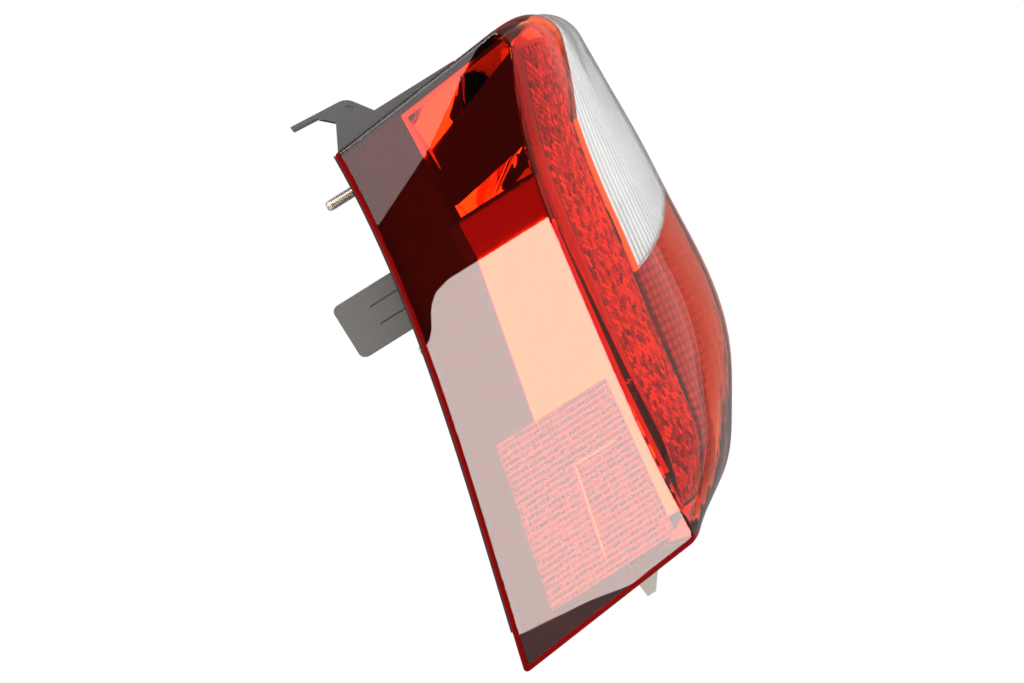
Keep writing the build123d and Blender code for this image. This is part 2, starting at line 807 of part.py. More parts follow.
# Housing: rims, mounting wall, wing plate, bosses, locating block and peg
def make_housing():
    shell = behind_lens & housing_core
    plate_front = corner_ahead - gasket_depth
    plate = [
        under_roof(plate_front, lens_wall / 2),
        under_roof(panel_front_top + plate_lap, lens_wall / 2),
        (panel_front_middle + plate_lap, panel_step),
        (panel_front_low + plate_lap, reflex_head),
        (plate_front, reflex_head + lens_rim),
    ]
    shell += side_prism(plate, plate_x, plate_x + shell_wall)
    shell -= chamber(panel_wall + optic_gap, panel_x, chamber_floor + panel_wall)
    for x, z in stud_places:
        shell += tube(x, z, stud_boss_radius, -shell_wall - stud_boss_depth, -shell_wall)
    left = block_in - block_width
    high = -block_top
    low = high - block_height
    outer = block(left, block_in, 0, block_reach, low, high)
    ends = [edge for edge in outer.edges() if edge.center().Y > block_reach - 1e-3]
    across = [edge for edge in ends if abs(edge.center().X - (left + block_in) / 2) < 1e-3]
    outer = fillet(across, block_round)
    shell += outer
    wall = 2 * shell_wall
    shell -= block(
        left + wall / 2,
        block_in - wall / 2,
        -shell_wall,
        block_reach - wall,
        low + wall / 2,
        high - wall / 2,
    )
    third = block_height / 3
    for level in (high - third, low + third):
        shell -= block(
            left, left + slit_depth, wall, wall + 4 * slit_length, level, level + slit_width
        )
    root = corner_ahead - peg_front
    peg_top = bottom_z(root - peg_root) + shell_wall / 2
    peg_low = bottom_z(root) - peg_height
    points = [
        Vector(peg_in, root, peg_top),
        Vector(peg_in, root - peg_root, peg_top),
        Vector(peg_in, root - slit_width - peg_tip, peg_low),
        Vector(peg_in, root - slit_width, peg_low),
    ]
    peg = Face(Wire.make_polygon(points, close=True))
    shell += extrude(peg, peg_width, dir=(1, 0, 0))
    for back in (pad_screw_front, pad_screw_rear):
        y = corner_ahead - back
        roof = top_z(y)
        boss = Pos(bracket_x, y, roof - pad_boss_depth / 2 - shell_wall / 2)
        shell += boss * Cylinder(pad_boss_radius, pad_boss_depth)
    for x, z in vent_places:
        shell += tube(x, z, vent_tube_radius, 0, vent_tube_length)
        shell -= tube(x, z, vent_bore, -shell_wall, vent_tube_length)
    for level in bowl_levels:
        shell -= tube(bowl_x, level, holder_hole, -shell_wall, 0)
        for step in range(lug_count):
            turn = step * 360 / lug_count
            notch = lug_reach + holder_fit
            shell -= lug(bowl_x, level, turn, notch, lug_width + 1, -shell_wall, 0)
    for x, z in bowl_screw_places:
        shell -= tube(x, z, screw_radius + screw_fit, -shell_wall, 0)
    for stud in studs:
        shell -= stud
    for piece in panel_screw_holes + pad_screws:
        shell -= piece
    return only(shell)


housing = make_housing()


# Gaskets and breather caps
def make_gasket():
    left = side_x + wing_depth + gasket_inset
    right = inboard_x - gasket_inset
    low = bottom_z(0) + gasket_inset
    high = top_z(0) - gasket_inset
    ring = RectangleRounded(right - left, high - low, gasket_round)
    ring -= RectangleRounded(
        right - left - 2 * gasket_width, high - low - 2 * gasket_width, gasket_round / 2
    )
    place = Pos((left + right) / 2, gasket_depth, (low + high) / 2) * Rot(90, 0, 0)
    return only(place * extrude(ring, gasket_depth))


def make_strip():
    """Foam strip on the front of the wing, behind the rolled edge of the lens."""
    strip = wing(lens_rim, wing_depth, 0, -strip_wall) - wing(0, wing_depth, 0, 0)
    low = corner_above - strip_length
    ahead = block(side_x, inboard_x, 0, 2 * toe_ahead, low, corner_above)
    return only(strip & ahead)


def make_vent(x, z):
    cap = tube(x, z, vent_cap_radius, screw_fit, vent_cap_reach)
    return cap - tube(x, z, vent_tube_radius, screw_fit, vent_tube_length)


nodes = {
    "lens_red": lens_red,
    "lens_clear": lens_clear,
    "lens_bead": lens_bead,
    "housing": housing,
    "side_reflector": side_reflector,
    "side_reflex": side_reflex,
    "corner_optic": corner_optic,
    "reverse_optic": reverse_optic,
    "tail_optic": tail_optic,
    "bracket": bracket,
    "studs": Compound(studs),
    "bowl_screws": Compound(bowl_screws),
    "panel_screws": Compound(panel_screws),
    "bracket_screws": Compound(pad_screws),
    "mounting_gasket": make_gasket(),
    "front_strip": make_strip(),
    "vent_caps": Compound([make_vent(x, z) for x, z in vent_places]),
    "contact_blades": Compound([b for level in bowl_levels for b in blades(bowl_x, level)]),
    "seal_rings": Compound([make_ring(bowl_x, level) for level in bowl_levels]),
}
for name, bowl, level in zip(bowl_names, bowls, bowl_levels):
    nodes[f"{name}_bowl"] = bowl
    nodes[f"{name}_holder"] = make_holder(bowl_x, level)
    nodes[f"{name}_bulb"] = make_bulb(bowl_x, level)

os.makedirs("parts", exist_ok=True)
for name, shape in nodes.items():
    export_step(shape, f"parts/{name}.step")
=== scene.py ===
import json
import math
import random

import bmesh
import bpy
from mathutils import Matrix, Vector
from mathutils.bvhtree import BVHTree


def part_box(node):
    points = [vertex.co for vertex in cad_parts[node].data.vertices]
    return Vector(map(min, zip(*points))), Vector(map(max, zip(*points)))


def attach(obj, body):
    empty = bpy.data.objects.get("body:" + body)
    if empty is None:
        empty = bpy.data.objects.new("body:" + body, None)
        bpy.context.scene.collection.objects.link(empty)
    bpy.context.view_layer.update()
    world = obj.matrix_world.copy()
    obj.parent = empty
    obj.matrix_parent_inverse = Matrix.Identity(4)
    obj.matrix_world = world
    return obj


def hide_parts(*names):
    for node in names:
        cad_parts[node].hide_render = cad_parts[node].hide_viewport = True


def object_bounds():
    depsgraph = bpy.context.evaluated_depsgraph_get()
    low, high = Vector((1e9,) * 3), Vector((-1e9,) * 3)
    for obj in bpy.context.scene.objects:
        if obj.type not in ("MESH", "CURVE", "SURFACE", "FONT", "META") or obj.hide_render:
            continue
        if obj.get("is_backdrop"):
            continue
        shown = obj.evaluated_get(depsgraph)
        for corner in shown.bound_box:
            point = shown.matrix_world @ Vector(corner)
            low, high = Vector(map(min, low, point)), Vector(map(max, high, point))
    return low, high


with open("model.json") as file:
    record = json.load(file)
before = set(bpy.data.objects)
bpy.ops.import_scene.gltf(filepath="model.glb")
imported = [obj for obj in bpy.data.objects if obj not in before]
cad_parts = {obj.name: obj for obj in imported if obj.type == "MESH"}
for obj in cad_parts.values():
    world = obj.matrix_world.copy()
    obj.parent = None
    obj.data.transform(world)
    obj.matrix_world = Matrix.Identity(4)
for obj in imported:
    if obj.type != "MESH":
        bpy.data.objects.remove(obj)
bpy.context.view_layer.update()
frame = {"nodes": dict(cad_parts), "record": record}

nodes = frame["nodes"]

# Housing: one moulding of grey plastic, the wall the lamp stands on the car with.
# Its sides close on the back of the lens, and a block and a peg place it in the body.
# The wing's face behind the lens is coloured near black, and the peg is coloured pale.
behind_lens_black, peg_pale = (0.008, 0.007, 0.007), (0.55, 0.53, 0.46)
behind_lens_edge = -0.0223
peg_top, peg_front = -0.2443, 0.002


def shader_of(material):
    """Main shader of a material."""
    return material.node_tree.nodes["Principled BSDF"]


def finish(name, colour, roughness, metallic=0.0):
    """Material of one colour."""
    material = bpy.data.materials.new(name)
    material.use_nodes = True
    shader = shader_of(material)
    shader.inputs["Base Color"].default_value = (*colour, 1.0)
    shader.inputs["Roughness"].default_value = roughness
    shader.inputs["Metallic"].default_value = metallic
    return material


def grain(material, size, depth, smooth, rough, light=1.15):
    """Fine uneven surface of a moulding: bump, and shade and gloss that wander a little."""
    fine_detail, broad_detail, broad_share, bump_strength = 4.0, 3.0, 0.06, 0.6
    tree = material.node_tree
    shader = shader_of(material)
    place = tree.nodes.new("ShaderNodeTexCoord")
    fine = tree.nodes.new("ShaderNodeTexNoise")
    fine.inputs["Scale"].default_value = 1.0 / size
    fine.inputs["Detail"].default_value = fine_detail
    broad = tree.nodes.new("ShaderNodeTexNoise")
    broad.inputs["Scale"].default_value = broad_share / size
    broad.inputs["Detail"].default_value = broad_detail
    gloss = tree.nodes.new("ShaderNodeMapRange")
    gloss.inputs["To Min"].default_value = smooth
    gloss.inputs["To Max"].default_value = rough
    bump = tree.nodes.new("ShaderNodeBump")
    bump.inputs["Distance"].default_value = depth
    bump.inputs["Strength"].default_value = bump_strength
    tint = tree.nodes.new("ShaderNodeMix")
    tint.data_type = "RGBA"
    colour = shader.inputs["Base Color"].default_value
    tint.inputs["A"].default_value = tuple(colour)
    tint.inputs["B"].default_value = (*[min(1.0, part * light) for part in colour[:3]], 1.0)
    for texture in (fine, broad):
        tree.links.new(place.outputs["Object"], texture.inputs["Vector"])
    tree.links.new(broad.outputs["Fac"], gloss.inputs["Value"])
    tree.links.new(gloss.outputs["Result"], shader.inputs["Roughness"])
    tree.links.new(fine.outputs["Fac"], bump.inputs["Height"])
    tree.links.new(bump.outputs["Normal"], shader.inputs["Normal"])
    tree.links.new(broad.outputs["Fac"], tint.inputs["Factor"])
    tree.links.new(tint.outputs["Result"], shader.inputs["Base Color"])


def dress(material, *names):
    """Gives CAD pieces their material."""
    for name in names:
        slots = nodes[name].data.materials
        slots.clear()
        slots.append(material)


housing_grey = finish("housing_grey", (0.088, 0.084, 0.077), roughness=0.5)
grain(housing_grey, size=0.0006, depth=0.00006, smooth=0.38, rough=0.55)
housing_nodes = housing_grey.node_tree.nodes
housing_links = housing_grey.node_tree.links
housing_shader = shader_of(housing_grey)
housing_place = housing_nodes.new("ShaderNodeTexCoord")
housing_axes = housing_nodes.new("ShaderNodeSeparateXYZ")
housing_links.new(housing_place.outputs["Object"], housing_axes.inputs["Vector"])


def below(axis, limit):
    """One where a place's coordinate is below a limit, else zero."""
    test = housing_nodes.new("ShaderNodeMath")
    test.operation = "LESS_THAN"
    test.inputs[1].default_value = limit
    housing_links.new(housing_axes.outputs[axis], test.inputs[0])
    return test.outputs["Value"]


def paint(share, colour):
    """Other colour over a share of the housing."""
    coat = housing_nodes.new("ShaderNodeMix")
    coat.data_type = "RGBA"
    coat.inputs["B"].default_value = (*colour, 1.0)
    base = housing_shader.inputs["Base Color"]
    housing_links.new(share, coat.inputs["Factor"])
    housing_links.new(base.links[0].from_socket, coat.inputs["A"])
    housing_links.new(coat.outputs["Result"], base)


paint(below("X", behind_lens_edge), behind_lens_black)
peg_share = housing_nodes.new("ShaderNodeMath")
peg_share.operation = "MULTIPLY"
housing_links.new(below("Z", peg_top), peg_share.inputs[0])
housing_links.new(below("Y", peg_front), peg_share.inputs[1])
paint(peg_share.outputs["Value"], peg_pale)
dress(housing_grey, "housing")

# Studs: M6 steel, zinc plated, moulded into the housing by their heads.
# The thread runs from the tip down to a plain collar at the mounting face.
thread_radius, thread_core, thread_pitch = 0.003, 0.00258, 0.001
thread_start, thread_turns, thread_steps = 0.0012, 28, 20
ridge_root, ridge_half = thread_core * 0.96, 0.4 * thread_pitch
shank_start, shank_sides = -0.0005, 32
tip_length, tip_radius = 0.0014, thread_core * 0.6
collar_radius, collar_rise = 0.0036, 0.003
head_radius, head_height, head_sides = 0.006, 0.004, 6
stud_low, stud_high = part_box("studs")


def object_of(name, mesh, material):
    """Object at the origin from a finished bmesh."""
    data = bpy.data.meshes.new(name)
    mesh.to_mesh(data)
    mesh.free()
    data.materials.append(material)
    made = bpy.data.objects.new(name, data)
    bpy.context.scene.collection.objects.link(made)
    return made


def piece(name, mesh, material, *stands_for, slot):
    """Finished piece from a bmesh, riding on the lamp."""
    made = object_of(name, mesh, material)
    if stands_for:
        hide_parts(*stands_for)
    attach(made, "root")
    return made


def corners_of(parts):
    """Only the corners among the parts that an operator gives back."""
    return [part for part in parts if isinstance(part, bmesh.types.BMVert)]


def bar_along_y(mesh, place, radius, end_radius, start, end, sides):
    """Closed round or hexagonal bar along Y."""
    middle = Matrix.Translation((place.x, (start + end) / 2, place.z))
    bmesh.ops.create_cone(
        mesh,
        cap_ends=True,
        segments=sides,
        radius1=radius,
        radius2=end_radius,
        depth=end - start,
        matrix=middle @ Matrix.Rotation(-math.pi / 2, 4, "X"),
    )


stud_zinc = finish("stud_zinc", (0.46, 0.42, 0.36), roughness=0.3, metallic=1.0)
grain(stud_zinc, size=0.0004, depth=0.00003, smooth=0.22, rough=0.4)
thread = bmesh.new()
for mount in frame["record"]["mounts"]:
    if mount["kind"] != "pin":
        continue
    place = Vector(mount["pos_m"])
    head, end = stud_low.y, stud_high.y
    tip = end - tip_length
    bar_along_y(thread, place, thread_core, thread_core, shank_start, tip, shank_sides)
    bar_along_y(thread, place, thread_core, tip_radius, tip, end, shank_sides)
    bar_along_y(thread, place, collar_radius, collar_radius, head + collar_rise, 0.0, shank_sides)
    bar_along_y(thread, place, collar_radius, thread_core, 0.0, thread_start, shank_sides)
    bar_along_y(thread, place, head_radius, head_radius, head, head + head_height, head_sides)
    ridge = [
        thread.verts.new((place.x + radius, thread_start + rise, place.z))
        for radius, rise in (
            (ridge_root, -ridge_half),
            (thread_radius, 0.0),
            (ridge_root, ridge_half),
        )
    ]
    start_face = thread.faces.new(ridge)
    swept = bmesh.ops.spin(
        thread,
        geom=ridge + start_face.edges[:],
        cent=place,
        axis=(0, 1, 0),
        dvec=(0, thread_pitch / thread_steps, 0),
        angle=2 * math.pi * thread_turns,
        steps=thread_turns * thread_steps,
    )
    thread.faces.new(corners_of(swept["geom_last"]))
bmesh.ops.recalc_face_normals(thread, faces=thread.faces)
piece("stud_threads", thread, stud_zinc, "studs", slot="zinc_steel")

# Bracket: sheet steel pressed to shape and painted black, with a hooked tongue in front.
# Two screws of the same finish hold it to the top of the housing.
bracket_black = finish("bracket_black", (0.05, 0.05, 0.053), roughness=0.35)
grain(bracket_black, size=0.0005, depth=0.00004, smooth=0.28, rough=0.42, light=1.4)
dress(bracket_black, "bracket", "bracket_screws")

# Foam ring and strip: black closed-cell foam, cut from sheet.
# The ring is glued to the mounting wall, the strip to the wing along the lens's front edge.
foam_black = finish("foam_black", (0.02, 0.02, 0.021), roughness=0.9)
grain(foam_black, size=0.0008, depth=0.0002, smooth=0.8, rough=0.95, light=1.6)
dress(foam_black, "mounting_gasket", "front_strip")

# Breather caps and seal rings: moulded black rubber.
# The caps are pushed on the breather tubes, and a ring seals each bulb holder.
rubber_black = finish("rubber_black", (0.018, 0.018, 0.019), roughness=0.6)
grain(rubber_black, size=0.0005, depth=0.00005, smooth=0.5, rough=0.7, light=1.5)
dress(rubber_black, "vent_caps", "seal_rings")

# Bead behind the lens: red plastic, melted between the lens's rim and the housing.
# It runs all round and seals the two together.
bead_red = finish("bead_red", (0.6, 0.02, 0.02), roughness=0.35)
grain(bead_red, size=0.0006, depth=0.00004, smooth=0.28, rough=0.42)
dress(bead_red, "lens_bead")

# Screws: steel with the studs' zinc plating, driven from behind.
# They hold the bowls and the side reflector to the housing.
dress(stud_zinc, "bowl_screws", "panel_screws")

# Bowls and side reflector: moulded plastic with a mirror coat laid on as vapour.
# The bowls gather the bulbs' light, and the side reflector lines the back of the side lens.
mirror_coat = finish("mirror_coat", (0.9, 0.89, 0.86), roughness=0.05, metallic=1.0)
grain(mirror_coat, size=0.004, depth=0.000001, smooth=0.006, rough=0.02, light=1.0)
dress(mirror_coat, "reverse_bowl", "turn_bowl", "stop_tail_bowl", "side_reflector")

# Bulb holders: black heat-proof plastic, each twisted into its opening in the housing.
# Two brass blades stand in the mouth of each for the plug.
holder_black = finish("holder_black", (0.03, 0.03, 0.032), roughness=0.45)
grain(holder_black, size=0.0005, depth=0.00005, smooth=0.38, rough=0.55, light=1.5)
blade_brass = finish("blade_brass", (0.7, 0.5, 0.2), roughness=0.3, metallic=1.0)
grain(blade_brass, size=0.0004, depth=0.00002, smooth=0.22, rough=0.4)
dress(holder_black, "reverse_holder", "turn_holder", "stop_tail_holder")
dress(blade_brass, "contact_blades")

# Bulbs: blown glass with a pressed base, amber for the turn signal.
# Each is pushed into its holder and stands in the middle of its bowl.


def clear(name, colour, roughness, refraction, share=1.0):
    """See-through finish, milky where the share that passes is below one."""
    flow_scale, flow_reach = 60.0, 0.012
    material = finish(name, colour, roughness)
    tree = material.node_tree
    shader = shader_of(material)
    shader.inputs["Transmission Weight"].default_value = share
    shader.inputs["IOR"].default_value = refraction
    place = tree.nodes.new("ShaderNodeTexCoord")
    flow = tree.nodes.new("ShaderNodeTexNoise")
    flow.inputs["Scale"].default_value = flow_scale
    gloss = tree.nodes.new("ShaderNodeMapRange")
    gloss.inputs["To Min"].default_value = roughness
    gloss.inputs["To Max"].default_value = roughness + flow_reach
    tree.links.new(place.outputs["Object"], flow.inputs["Vector"])
    tree.links.new(flow.outputs["Fac"], gloss.inputs["Value"])
    tree.links.new(gloss.outputs["Result"], shader.inputs["Roughness"])
    return material


bulb_glass = clear("bulb_glass", (0.97, 0.97, 0.97), roughness=0.0, refraction=1.2)
bulb_amber = clear("bulb_amber", (0.95, 0.42, 0.06), roughness=0.0, refraction=1.2)
dress(bulb_glass, "reverse_bulb", "stop_tail_bulb")
dress(bulb_amber, "turn_bulb")

# Corner prisms: a sheet of small mirrored bricks behind the corner of the red lens.
# The moulding's bricks stand in staggered columns, each tilted a little its own way.
outside, facing_limit = -0.3, -0.15
level_step, torn_limit = 0.0005, 0.006
border_x, border_gap, prism_gap = -0.010, 0.0008, 0.0027
border_bend, border_lean = -0.0287, 0.375
band_low, band_high = -0.2216, 0.0146
band_left, band_right = -0.0292, 0.012
backing_left, backing_high = -0.0312, 0.032
backing_depth, backing_thick, backing_tone = 0.0040, 0.0006, 0.25
chamber_edge, chamber_roof, chamber_slope = -0.026, 0.0232, 0.5
crease_reach, crease_slope, crease_middle = -0.0012, -0.023, -0.13
brick_width, brick_height, brick_depth = 0.0016, 0.0034, 0.0006
brick_tilt, brick_turn, brick_place, brick_fill = 0.14, 1.6, 0.0037, 0.94
column_step, row_start, row_stagger = brick_width * 0.6, 0.25, 0.5
prism_tones = ((0, (0.3, 0.12, 0.12)), (0.5, (0.85, 0.6, 0.55)), (1, (1.0, 0.95, 0.9)))


def skin_of(node):
    """Surface of a CAD piece, for laying detail on it."""
    data = nodes[node].data
    places = [corner.co for corner in data.vertices]
    return BVHTree.FromPolygons(places, [face.vertices for face in data.polygons])


def inside_of(skin, x, z, depth):
    """Place a depth behind the lens's outer face in the rear view, and the way out there."""
    hit, normal, *_ = skin.ray_cast(Vector((x, outside, z)), Vector((0, 1, 0)))
    if hit is None or normal.y > facing_limit:
        return None, None
    return hit - normal * depth, normal


def back_of(mesh):
    """Corners of a second skin on all faces of an open sheet, joined to it round the edge."""
    made = bmesh.ops.extrude_face_region(mesh, geom=mesh.faces[:], use_keep_orig=True)
    return corners_of(made["geom"])


def sheet_on(skin, depth, span, levels, cells, thickness, relief, lean=None):
    """Closed sheet behind the lens, with a pattern on the side away from the lens."""
    made = bmesh.new()
    outward = made.verts.layers.float_vector.new("outward")
    bmesh.ops.create_grid(made, x_segments=cells[0], y_segments=cells[1], size=0.5)
    ends = {}
    lost = []
    for corner in made.verts:
        share = round(corner.co.x + 0.5, 5)
        x = span[0] + share * (span[1] - span[0])
        if share not in ends:
            low, high = levels(x)
            while high > low and inside_of(skin, x, high, depth)[0] is None:
                high -= level_step
            ends[share] = (low, high)
        low, high = ends[share]
        z = low + (corner.co.y + 0.5) * (high - low)
        if lean:
            x += (1 - share) * lean(z)
        place, normal = inside_of(skin, x, z, depth)
        if place is None:
            lost.append(corner)
        else:
            corner.co = place
            corner[outward] = normal
    bmesh.ops.delete(made, geom=lost, context="VERTS")
    torn = []
    for edge in made.edges:
        start, end = edge.verts
        if abs(start.co.z - end.co.z) > torn_limit:
            torn.append(edge)
    bmesh.ops.delete(made, geom=torn, context="EDGES")
    for corner in back_of(made):
        corner.co -= corner[outward] * (thickness + relief(corner.co.x, corner.co.z))
    crest = made.verts.layers.float.new("crest")
    for corner in made.verts:
        corner[crest] = relief(corner.co.x, corner.co.z)
    bmesh.ops.recalc_face_normals(made, faces=made.faces)
    for face in made.faces:
        face.smooth = True
    return made


def shade_by(material, attribute, reach, stops):
    """Colour that follows a value kept on the mesh, from stops of (share, colour)."""
    tree = material.node_tree
    value = tree.nodes.new("ShaderNodeAttribute")
    value.attribute_name = attribute
    share = tree.nodes.new("ShaderNodeMapRange")
    share.inputs["From Max"].default_value = reach
    ramp = tree.nodes.new("ShaderNodeValToRGB")
    elements = ramp.color_ramp.elements
    for place, colour in stops[1:-1]:
        elements.new(place).color = (*colour, 1)
    elements[0].color = (*stops[0][1], 1)
    elements[-1].color = (*stops[-1][1], 1)
    tree.links.new(value.outputs["Fac"], share.inputs["Value"])
    tree.links.new(share.outputs["Result"], ramp.inputs["Fac"])
    tree.links.new(ramp.outputs["Color"], shader_of(material).inputs["Base Color"])


def band_levels(x):
    """Lowest and highest place of the corner prisms."""
    past = x + prism_gap - border_x
    low = band_low if past <= 0 else border_bend + past / border_lean
    return low, min(backing_high, chamber_roof + chamber_slope * (x - chamber_edge))


def crease_lean(z):
    """How far the corner's crease wanders across the rear view at a height."""
    return max(crease_reach, crease_slope * (z - crease_middle))


def flat(x, z):
    """No pattern."""
    return 0.0


chance = random.Random(11)
red_skin = skin_of("lens_red")
prisms = sheet_on(
    red_skin,
    depth=backing_depth,
    span=(backing_left, band_right),
    levels=band_levels,
    cells=(40, 90),
    thickness=backing_thick,
    relief=flat,
    lean=crease_lean,
)
tone = prisms.verts.layers.float.new("tone")
for corner in prisms.verts:
    corner[tone] = backing_tone
for column in range(int((band_right - band_left) / column_step)):
    x = band_left + (column + 0.5) * column_step
    low, high = band_levels(x)
    for row in range(int((band_high - band_low) / brick_height)):
        z = band_low + (row + row_start + row_stagger * (column % 2)) * brick_height
        place, normal = inside_of(red_skin, x, z, brick_place)
        if place is None or not low < z < min(high, band_high):
            continue
        across = Vector((0, 0, 1)).cross(normal).normalized()
        upright = normal.cross(across).normalized()
        stand = Matrix((across, upright, normal)).transposed().to_4x4()
        stand.translation = place
        tilt = Matrix.Rotation(chance.uniform(-brick_tilt, brick_tilt), 4, "X")
        turn = Matrix.Rotation(chance.uniform(-brick_tilt, brick_tilt) * brick_turn, 4, "Y")
        sides = (brick_width * brick_fill, brick_height * brick_fill, brick_depth)
        shape = stand @ (tilt @ turn) @ Matrix.Diagonal((*sides, 1))
        brick = bmesh.ops.create_cube(prisms, size=1.0, matrix=shape)
        brick_tone = chance.random()
        for corner in brick["verts"]:
            corner[tone] = brick_tone
prism_mirror = finish("prism_mirror", (0.8, 0.8, 0.8), roughness=0.16, metallic=0.85)
shade_by(prism_mirror, "tone", reach=1.0, stops=prism_tones)
piece("corner_prisms", prisms, prism_mirror, "corner_optic", slot="red_optic")

# Window flutes: a clear sheet moulded with upright flutes, behind the clear window.
# They broaden towards the middle of the car and are sharper below a step in the moulding.
flute_step = -0.0747
flute_count, flute_reach, flute_deep = 28, 0.09, 0.0007
flute_round, flute_sharp = 1.6, 3.2
window_left, window_right = border_x + border_gap, 0.1045
window_foot, window_slope, window_roof = -0.1097, 0.2619, 0.032
sheet_depth, flutes_thick = 0.0031, 0.0006
# Painted shade: the flutes' valleys are coloured near black, grading to white on the crests.
flute_shade_tones = ((0, (0.06, 0.06, 0.06)), (0.55, (0.7, 0.7, 0.69)), (1, (0.97, 0.97, 0.96)))


def window_levels(x):
    """Lowest and highest place of the window's flutes."""
    low = window_foot + border_gap + window_slope * (x - border_x)
    return low, min(window_roof, border_bend + (x - border_gap - border_x) / border_lean)


def flute(x, z):
    """Depth of the upright flutes at a place of the rear view."""
    turns = flute_count * (1 - math.exp((border_x - x) / flute_reach))
    wave = abs(math.sin(math.pi * turns))
    return flute_deep * wave ** (flute_round if z > flute_step else flute_sharp)


optic_clear = clear("optic_clear", (0.96, 0.97, 0.97), roughness=0.05, refraction=1.4, share=0.3)
# The flutes' colour follows their depth, with painted shade in the valleys.
shade_by(optic_clear, "crest", reach=flute_deep, stops=flute_shade_tones)
flutes = sheet_on(
    skin_of("lens_clear"),
    depth=sheet_depth,
    span=(window_left, window_right),
    levels=window_levels,
    cells=(220, 80),
    thickness=flutes_thick,
    relief=flute,
)
piece("window_flutes", flutes, optic_clear, "reverse_optic", slot="clear_optic")

# Tail pillows: a red sheet moulded with small rounded pillows, behind the lower rear lens.
# They spread the light of the two lower bulbs.
pillow_pitch, pillow_deep, pillows_thick = 0.0045, 0.0007, 0.0005
# Painted shade: the hollows between the pillows are coloured dark red, paler towards the pillows'
# tops.
pillow_shade_tones = ((0, (0.2, 0.03, 0.03)), (0.5, (0.7, 0.2, 0.18)), (1, (0.9, 0.4, 0.37)))


def tail_levels(x):
    """Lowest and highest place of the tail pillows."""
    return band_low, window_foot - border_gap + window_slope * (x - border_x)


def pillow(x, z):
    """Depth of the pillows at a place of the rear view."""
    across = math.sin(math.pi * x / pillow_pitch)
    upright = math.sin(math.pi * z / pillow_pitch)
    return pillow_deep * abs(across * upright)


optic_red = clear("optic_red", (0.85, 0.12, 0.09), roughness=0.05, refraction=1.4, share=0.45)
# The pillows' colour follows their depth, with painted shade in the hollows.
shade_by(optic_red, "crest", reach=pillow_deep, stops=pillow_shade_tones)
pillows = sheet_on(
    red_skin,
    depth=sheet_depth,
    span=(window_left, window_right),
    levels=tail_levels,
    cells=(130, 160),
    thickness=pillows_thick,
    relief=pillow,
)
piece("tail_pillows", pillows, optic_red, "tail_optic", slot="red_optic")

# Reflex plate: red plastic with rows of small pyramids that throw light back, welded inside
# the side lens. A plain mirrored bead frames one corner of its field.
millimetre = 0.001
side_y, side_z = 14.0, 19.3
reflex_corners = ((-8.5, -165.5), (57.0, -165.5), (45.6, -251.5), (-29.4, -252.6))
reflex_cells, reflex_margin, reflex_share = 27, 0.01, 0.98
reflex_gap, reflex_thick = 0.0010, 0.0011
pyramid_high, pyramid_wander, pyramid_tones = 0.0008, 0.4, (0.4, 1.0)
reflex_tones = (
    (0, (0.75, 0.42, 0.38)),
    (0.18, (0.6, 0.34, 0.3)),
    (0.4, (0.0, 0.0, 0.0)),
    (1, (0.0, 0.0, 0.0)),
)
bead_bend, bead_ends = (20.0, -195.3), ((43.6, -195.3), (8.5, -243.0))
bead_wide, bead_deep, bead_sink, bead_round = 0.0012, 0.0008, 0.0006, 0.0002
reflex_skin = skin_of("side_reflex")


def side_point(back, rise):
    """Side view's place from mm behind and above the lens's top front corner."""
    return ((side_y - back) / 1000, (side_z + rise) / 1000)


def plate_face(y, z):
    """How far across the car the plate's face lies at a place of the side view."""
    hit, *_ = reflex_skin.ray_cast(Vector((outside, y, z)), Vector((1, 0, 0)))
    return hit.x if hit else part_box("side_reflex")[0].x


def reflex_point(across, down):
    """Place on the plate from shares across and down it, a gap behind its face."""
    head = [a + across * (b - a) for a, b in zip(reflex_corners[0], reflex_corners[1])]
    foot = [a + across * (b - a) for a, b in zip(reflex_corners[3], reflex_corners[2])]
    y, z = side_point(*[a + down * (b - a) for a, b in zip(head, foot)])
    return Vector((plate_face(y, z) + reflex_gap, y, z))


def wander():
    """Small way a pyramid's point is off the middle."""
    return chance.uniform(-pyramid_wander, pyramid_wander) * millimetre


reflex = bmesh.new()
bmesh.ops.create_grid(reflex, x_segments=reflex_cells, y_segments=reflex_cells, size=0.5)
for corner in reflex.verts:
    across = reflex_margin + reflex_share * (corner.co.x + 0.5)
    down = reflex_margin + reflex_share * (0.5 - corner.co.y)
    corner.co = reflex_point(across, down)
cells = reflex.faces[:]
bmesh.ops.translate(reflex, vec=(reflex_thick, 0, 0), verts=back_of(reflex))
reflex_tone = reflex.verts.layers.float.new("tone")
for centre in bmesh.ops.poke(reflex, faces=cells)["verts"]:
    centre[reflex_tone] = chance.uniform(*pyramid_tones)
    centre.co += Vector((-pyramid_high, wander(), wander()))
bmesh.ops.recalc_face_normals(reflex, faces=reflex.faces)
reflex_red = finish("reflex_red", (0.95, 0.75, 0.7), roughness=0.22, metallic=0.8)
shade_by(reflex_red, "tone", reach=1.0, stops=reflex_tones)
piece("reflex_plate", reflex, reflex_red, "side_reflex", slot="red_reflex")
frame_bead = bmesh.new()
for bead_end in bead_ends:
    (y0, z0), (y1, z1) = side_point(*bead_bend), side_point(*bead_end)
    along = Vector((0, y1 - y0, z1 - z0))
    y, z = (y0 + y1) / 2, (z0 + z1) / 2
    middle = Matrix.Translation((plate_face(y, z) + bead_sink, y, z))
    turn = along.to_track_quat("Y", "X").to_matrix().to_4x4()
    shape = middle @ turn @ Matrix.Diagonal((bead_wide, along.length, bead_deep, 1))
    bar = bmesh.ops.create_cube(frame_bead, size=1.0, matrix=shape)
    edges = list({edge for corner in bar["verts"] for edge in corner.link_edges})
    bmesh.ops.bevel(
        frame_bead,
        geom=edges,
        offset=bead_round,
        affect="EDGES",
        segments=2,
        profile=0.5,
        material=-1,
    )
piece("reflex_bead", frame_bead, mirror_coat, slot="red_reflex")
